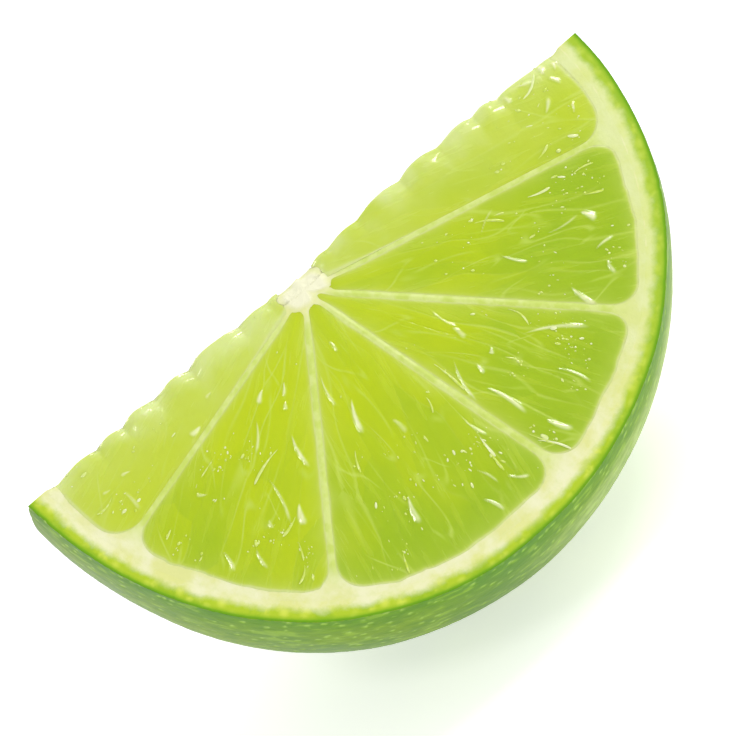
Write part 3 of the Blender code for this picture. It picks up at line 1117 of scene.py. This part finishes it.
def edge_rails(side, degrees):
    """An edge segment's inner rail, along the core, and its outer rail, under the pith.

    Both start at the membrane, cross to the cut edge and then go down the lengthwise cut, the
    inner one beside the core and the outer one RIND_THICKNESS inside the skin.
    """
    reach = np.arccos(np.clip(side * math.cos(math.radians(degrees)), -1, 1))
    ahead = np.array([side * math.cos(reach), math.sin(reach)])
    aside_way = np.array([side * math.sin(reach), -math.cos(reach)])
    start = CORE + ahead * (CORE_RADIUS + 0.3) + aside_way * MEMBRANE_HALF_WIDTH
    membrane_far = CORE + ahead * rim_reach(np.array([math.radians(degrees)]))[0]
    membrane_far = membrane_far + aside_way * MEMBRANE_HALF_WIDTH
    far_turn = math.atan2(membrane_far[1], side * membrane_far[0])
    share = np.linspace(0, 1, EDGE_ON_CROSS)
    core_side = CORE[0] + side * CORE_HALF_ON_EDGE
    inner = start + share[:, None] * (np.array([core_side, 0.0]) - start)
    inner = np.concatenate([inner, np.zeros((EDGE_ON_CROSS, 1))], axis=1)
    turn = far_turn * (1 - share)
    turn = turn if side > 0 else math.pi - turn
    rim = pulp_rim(turn)
    outer = np.stack([rim * np.cos(turn), rim * np.sin(turn), 0 * rim], axis=-1)
    edge_turn = np.array([0.0 if side > 0 else math.pi])
    wall = under_skin(400, edge_turn, RIND_THICKNESS)[:, 0]
    wall[0] = outer[-1]
    length = lengths_along(wall)
    inset = np.abs(wall[:, 0] - CORE[0] - side * core_half(-wall[:, 2]))
    last = length[np.argmin(inset)] - 0.6
    down = np.linspace(0, 1, EDGE_ON_LENGTH + 1)[1:]
    lower_outer = np.stack([np.interp(down * last, length, part) for part in wall.T], axis=-1)
    depth = -down * (lower_outer[-1, 2] * 0.90)
    column = CORE[0] + side * core_half(depth)
    lower_inner = np.stack([column, 0 * depth, -depth], axis=-1)
    return np.concatenate([inner, lower_inner]), np.concatenate([outer, lower_outer])


def ridge_shape(side, points, past_edge, run, share, salt):
    """How far the pulp bulges along the cut edge, and how deep the notches between its sacs are."""
    bulge = bell(past_edge, 2.2) * np.sin(math.pi * share)
    bulge = bulge - TIP_SINK * np.exp(-((run / 0.65) ** 2) - (past_edge / 1.2) ** 2)
    ripple = cloud(points[..., :1] * np.array([0.42, 0.0, 0.0]) + salt, salt + 80, 3)
    x = points[..., 0]
    place = np.stack([x / 5.0, 0 * x, 0 * x], axis=-1)
    beat = x / NOTCH_SPACING + 0.5 * cloud(place + salt, salt + 85, 2)
    notch = RIDGE_NOTCH[side] * (1 - np.abs(np.sin(math.pi * beat))) * bell(past_edge, 1.2)
    return bulge * (RIDGE_BULGE[side] + 0.12 * ripple), notch * np.sin(math.pi * share) ** 0.5


def build_edge_segment(name, side, degrees, salt, material):
    """A segment that both cuts pass through: one sheet bent over the cut edge.

    Straight lines run from the inner rail to the outer one, and end in rounded corners. The pulp
    bulges and is notched along the cut edge, where a pale veil lies over it: partly torn walls, partly
    painted light shining through the thin pulp.
    """
    inner, outer = edge_rails(side, degrees)
    straight = np.linalg.norm(outer - inner, axis=-1)
    from_membrane = lengths_along(outer)
    from_end = from_membrane[-1] - from_membrane
    drop = corner_drop(from_membrane, CORNER_RADIUS) + corner_drop(from_end, CORNER_RADIUS)
    share = np.linspace(0, 1, EDGE_ROWS)[:, None]
    run = share * (straight - drop)
    points = inner + (run / straight)[..., None] * (outer - inner)
    steps = np.linalg.norm(np.diff(points, axis=1), axis=-1)
    aside = np.concatenate([np.zeros((EDGE_ROWS, 1)), np.cumsum(steps, axis=1)], axis=1)
    past_edge = aside - aside[:, EDGE_ON_CROSS - 1 : EDGE_ON_CROSS]
    edge = soft_least(aside, aside[:, -1:] - aside, straight - drop - run, run)
    along = run + 2.0
    height, masks = pulp_relief(aside, along, edge, salt)
    bulge, notch = ridge_shape(side, points, past_edge, run, share, salt)
    masks["glint"] = streak_relief(points[..., 0], points[..., 1]) * smooth(edge / 0.3)
    masks["glint"] = masks["glint"] * (past_edge < 0)
    height = height + bulge - notch + TORN_HEIGHT * masks["glint"]
    height = height - RIDGE_WORN * bell(past_edge, 0.45) * smooth(run / 1.8)
    facing = ridge_normals(past_edge)
    top = points + facing * height[..., None]
    # Painted light: the paleness near the cut edge is partly torn walls and partly painted light shining
    # through the thin pulp there
    veil = 0.5 + 0.6 * cloud(points @ SLANT / 2.6, salt + 70)
    pale = 0.9 * bell(edge, 0.2) + 0.35 * np.exp(-edge / 0.5)
    pale = pale + 0.9 * veil * np.exp(-np.abs(past_edge) / 3.5)
    pale = pale + 0.4 * np.exp(-np.abs(past_edge) / 1.6) + EDGE_PALENESS[side]
    masks["pale"] = np.clip(pale, 0, 1)
    masks["shade"] = np.full(aside.shape, EDGE_GREENNESS[side])
    centre = points[EDGE_ROWS // 2, EDGE_ON_CROSS] + np.array([0.0, BEDDED, -BEDDED])
    under = skirt(border_of(top), -border_of(facing), centre)
    close_pulp(name, top, under, masks, material)
    ahead = (outer - inner) / straight[:, None]
    weight = smooth((edge - 0.3) / 1.2) * (0.3 + smooth((along - 9) / 9))
    return top, facing, np.broadcast_to(ahead, top.shape), weight


# ---------------------------------------------------------------- the juice

BEADS_AND_SMEARS_INSIDE = (95, 5)
BEADS_AND_SMEARS_AT_EDGE = (130, 6)
BEAD_SIZE = 0.048
BEAD_GRID = (5, 8)  # rings and sides
SMEAR_SIZES = (0.09, 0.19)
SMEAR_STRETCHES = (3, 9)
SMEAR_GRID = (9, 10)
FLATNESS = 0.6  # a drop's height as a share of its width


def small_drop(rings, sides):
    """A closed ball of unit size, as rings of points from pole to pole."""
    tilt = np.linspace(0, math.pi, rings)[:, None]
    turn = np.linspace(0, 2 * math.pi, sides, endpoint=False)[None, :]
    height = np.cos(tilt) * np.ones_like(turn)
    return np.stack([np.sin(tilt) * np.cos(turn), np.sin(tilt) * np.sin(turn), height], axis=-1)


def shape_drop(drop, out, way, size, stretch, lean, bend, flow):
    """Stretches a ball along a leaning line and bends it; flow thins the end that it came from."""
    side = np.cross(out, way)
    ahead = math.cos(lean) * way + math.sin(lean) * side
    side = math.cos(lean) * side - math.sin(lean) * way
    taper = 1 - flow + flow * ((1 + drop[..., 2]) / 2) ** 2
    far = drop[..., 2] * size * stretch
    wide = drop[..., 0] * size * taper + bend * far**2
    tall = drop[..., 1] * size * taper * FLATNESS
    return far[..., None] * ahead + wide[..., None] * side + tall[..., None] * out


def scatter_drops(patches, material):
    """Juice standing on the pulp: many beads in clusters and a few long drawn-out smears.

    Each drop is half sunk. Places are drawn from the pulp's own points, more often near the rim
    and where a noise is high.
    """
    draw = np.random.default_rng(41)
    sheets = []
    for points, facing, ahead, weight, beads, smears in patches:
        count = beads + smears
        chance = (weight * smooth(3.4 * soft_noise(points / 2.2, 90) - 1.5)).ravel()
        chance /= chance.sum()
        picks = draw.choice(chance.size, count, p=chance)
        size = np.exp(draw.normal(math.log(BEAD_SIZE), 0.45, count))
        stretch = 1 + draw.exponential(0.7, count)
        size[beads:] = draw.uniform(*SMEAR_SIZES, smears)
        stretch[beads:] = draw.uniform(*SMEAR_STRETCHES, smears)
        lean = draw.normal(0, 0.35, count)
        lean[beads:] = draw.normal(0, 0.28, smears)
        bend = draw.normal(0, 0.12, count)
        place, out, way = (grid.reshape(-1, 3)[picks] for grid in (points, facing, ahead))
        for i in range(count):
            smear = i >= beads
            drop = small_drop(*(SMEAR_GRID if smear else BEAD_GRID))
            flow = 0.7 if smear else 0.0
            shape = shape_drop(drop, out[i], way[i], size[i], stretch[i], lean[i], bend[i], flow)
            sheets.append((place[i] + shape, True, {"clear": draw.uniform()}))
    return add_piece("juice", sheets, material)


# ---------------------------------------------------------------- the studio

# Each soft box: name, azimuth and height in degrees, distance and size in metres, watts
SOFTBOXES = (
    ("key", 74, 50, 0.45, 0.14, 0.66),
    ("back", 165, 50, 0.5, 0.5, 0.55),
    ("side", -50, 50, 0.5, 0.10, 0.35),
    ("low", 100, 8, 0.5, 0.3, 0.5),
)
SKY_STRENGTH, SKY_IN_REFLECTIONS = 0.56, 0.17
FLOOR_SIZE = 3.0
FLOOR_GLOW = 0.58

CAMERA_AZIMUTH, CAMERA_HEIGHT, CAMERA_ROLL = -7.79, 23.28, 37.89  # degrees
CAMERA_DISTANCE = 0.52
CAMERA_FIELD = 5.775  # degrees across
SENSOR_WIDTH = 36.0
AIM_RIGHT, AIM_UP = 4.897, -6.888  # millimetres from the middle of the cut edge


def build_studio():
    """Plain pale floor, even sky light that is dimmer in reflections, and soft boxes."""
    bpy.ops.mesh.primitive_plane_add(size=FLOOR_SIZE)
    floor = bpy.context.object
    floor.name = "floor"
    material, paint, shader = new_material("studio_floor")
    tone = paint.ramp(paint.noise(paint.place(), scale=3.0), 0.3, 0.7)
    paint.feed(shader["Base Color"], paint.mix(tone, FLOOR_DULL, FLOOR_BRIGHT))
    glow = {"Emission Color": WHITE, "Emission Strength": FLOOR_GLOW}
    set_finish(shader, glow | {"Roughness": 0.9})
    floor.data.materials.append(material)
    world = bpy.data.worlds.new("studio_sky")
    bpy.context.scene.world = world
    world.use_nodes = True
    sky = Paint(world.node_tree)
    back = world.node_tree.nodes["Background"]
    back.inputs["Color"].default_value = WHITE
    glossy = sky.node("ShaderNodeLightPath").outputs["Is Glossy Ray"]
    strength = sky.ramp(glossy, 0.0, 1.0, SKY_STRENGTH, SKY_IN_REFLECTIONS)
    sky.feed(back.inputs["Strength"], strength)
    place_camera()
    for softbox in SOFTBOXES:
        add_softbox(*softbox)
    bpy.context.scene.view_settings.view_transform = "Standard"


def direction_of(azimuth, elevation):
    """The unit vector to a place at this azimuth (0 in front, 90 at +X) and height in degrees."""
    turn, rise = math.radians(azimuth), math.radians(elevation)
    return Vector((math.sin(turn) * math.cos(rise), -math.cos(turn) * math.cos(rise), math.sin(rise)))


def add_softbox(name, azimuth, elevation, distance, size, watts):
    """A square lamp that faces the fruit."""
    lamp = bpy.data.lights.new(name, "AREA")
    lamp.energy = watts
    lamp.size = size
    holder = bpy.data.objects.new(name, lamp)
    toward = direction_of(azimuth, elevation)
    holder.location = toward * distance
    holder.rotation_euler = toward.to_track_quat("Z", "Y").to_euler()
    bpy.context.scene.collection.objects.link(holder)


def place_camera():
    """A long lens that looks at the cross cut almost squarely, rolled so that the cut edge climbs."""
    toward = direction_of(CAMERA_AZIMUTH, CAMERA_HEIGHT)
    right = Vector((0, 0, 1)).cross(toward).normalized()
    up = toward.cross(right)
    roll = math.radians(CAMERA_ROLL)
    right, up = (
        math.cos(roll) * right - math.sin(roll) * up,
        math.sin(roll) * right + math.cos(roll) * up,
    )
    aim = Vector((EDGE_PLACE * MM).tolist()) + MM * (AIM_RIGHT * right + AIM_UP * up)
    camera = bpy.data.cameras.new("camera")
    camera.sensor_width = SENSOR_WIDTH
    camera.lens = SENSOR_WIDTH / 2 / math.tan(math.radians(CAMERA_FIELD) / 2)
    camera.clip_start = 0.01
    holder = bpy.data.objects.new("camera", camera)
    turn = Matrix((right, up, toward)).transposed().to_4x4()
    holder.matrix_world = Matrix.Translation(aim + CAMERA_DISTANCE * toward) @ turn
    bpy.context.scene.collection.objects.link(holder)
    bpy.context.scene.camera = holder


def main():
    """Builds the fruit from the rind inward, wets its pulp and puts it in the studio."""
    rind = rind_material()
    pith = pith_material()
    pulp = pulp_material()
    shell = build_rind(rind)
    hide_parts("lime_wedge")
    build_pith(pith)
    wet = []
    bounds = zip(MEMBRANE_DEGREES[:-1], MEMBRANE_DEGREES[1:], GREENNESS, TIP_DISTANCE)
    for index, (start, end, greenness, tip) in enumerate(bounds):
        name = f"pulp_{index + 2}"
        patch = build_inner_segment(name, start, end, 100 + 17 * index, greenness, tip, pulp)
        wet.append((*patch, *BEADS_AND_SMEARS_INSIDE))
    patch = build_edge_segment("pulp_1", 1, MEMBRANE_DEGREES[0], 210, pulp)
    wet.append((*patch, *BEADS_AND_SMEARS_AT_EDGE))
    patch = build_edge_segment("pulp_6", -1, MEMBRANE_DEGREES[-1], 230, pulp)
    wet.append((*patch, *BEADS_AND_SMEARS_AT_EDGE))
    scatter_drops(wet, juice_material())
    build_studio()


main()
